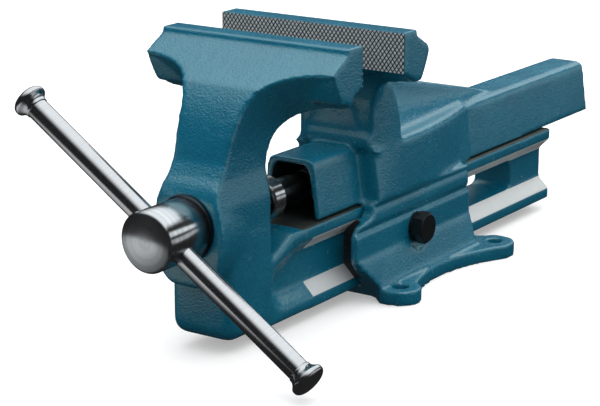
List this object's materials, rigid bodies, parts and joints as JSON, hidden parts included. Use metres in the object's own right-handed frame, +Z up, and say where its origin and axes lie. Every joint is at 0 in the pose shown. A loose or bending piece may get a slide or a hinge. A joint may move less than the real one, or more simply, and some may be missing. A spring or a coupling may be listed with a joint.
{
  "type": "bench vise",
  "caption": "Front-opening forged bench vise: knurled jaws, double-prism slide in an adjustable guide, screw spindle with sliding handle, and a bolt-down base.",
  "frame": {"origin": "centre of the four foot holes, on the underside of the base", "axes": "+X to the right of the user, -Y towards the user (the front jaw opens along -Y), +Z up"},
  "size_m": [0.2164, 0.5331, 0.186],
  "materials": {
    "teal_enamel": "hammered metallic enamel over forged steel",
    "bright_steel": "turned and polished",
    "ground_steel": "ground",
    "black_oxide": "black oxide",
    "spring_steel": "oiled spring wire",
    "nut_iron": "machined",
    "black_rubber": "matt"
  },
  "bodies": {
    "fixed_jaw": {"fixed_jaw_body": "teal_enamel", "adjusting_gib": "ground_steel", "gib_pins": "ground_steel", "spindle_nut": "nut_iron", "nut_pin": "ground_steel"},
    "gib_bolt_washer": {"bolt_lock_washer": "black_oxide"},
    "gib_bolt": {"adjusting_bolt": "black_oxide"},
    "moving_jaw": {"moving_jaw_body": "teal_enamel", "thrust_washer": "ground_steel", "recoil_spring": "spring_steel"},
    "spindle": {"spindle_screw": "bright_steel", "retaining_collar": "bright_steel", "collar_pin": "ground_steel", "spring_washer": "ground_steel", "handle_friction_rings": "black_rubber"},
    "handle": {"handle_bar": "bright_steel", "handle_knob_left": "bright_steel", "handle_knob_right": "bright_steel"}
  },
  "joints": [
    {"name": "jaw_slide", "type": "slide", "parent": "fixed_jaw", "child": "moving_jaw", "axis": [0, -1, 0], "range_m": [-0.0463, 0.152]},
    {"name": "spindle_turn", "type": "hinge", "parent": "moving_jaw", "child": "spindle", "pos_m": [0, -0.253, 0.082], "axis": [0, -1, 0], "range_deg": [-4166, 13680]},
    {"name": "handle_slide", "type": "slide", "parent": "spindle", "child": "handle", "axis": [0.829, 0, -0.5592], "range_m": [-0.0955, 0.0955]},
    {"name": "gib_bolt_back_off", "type": "slide", "parent": "fixed_jaw", "child": "gib_bolt_washer", "axis": [1, 0, 0], "range_m": [0, 0.00349]},
    {"name": "gib_bolt_turn", "type": "hinge", "parent": "gib_bolt_washer", "child": "gib_bolt", "pos_m": [0.04, -0.0225, 0.0385], "axis": [1, 0, 0], "range_deg": [0, 718]}
  ],
  "couplings": [
    {"joint": "jaw_slide", "follows": "spindle_turn", "m_per_rad": 0.00063662},
    {"joint": "gib_bolt_turn", "follows": "gib_bolt_back_off", "rad_per_m": 3590.4}
  ]
}
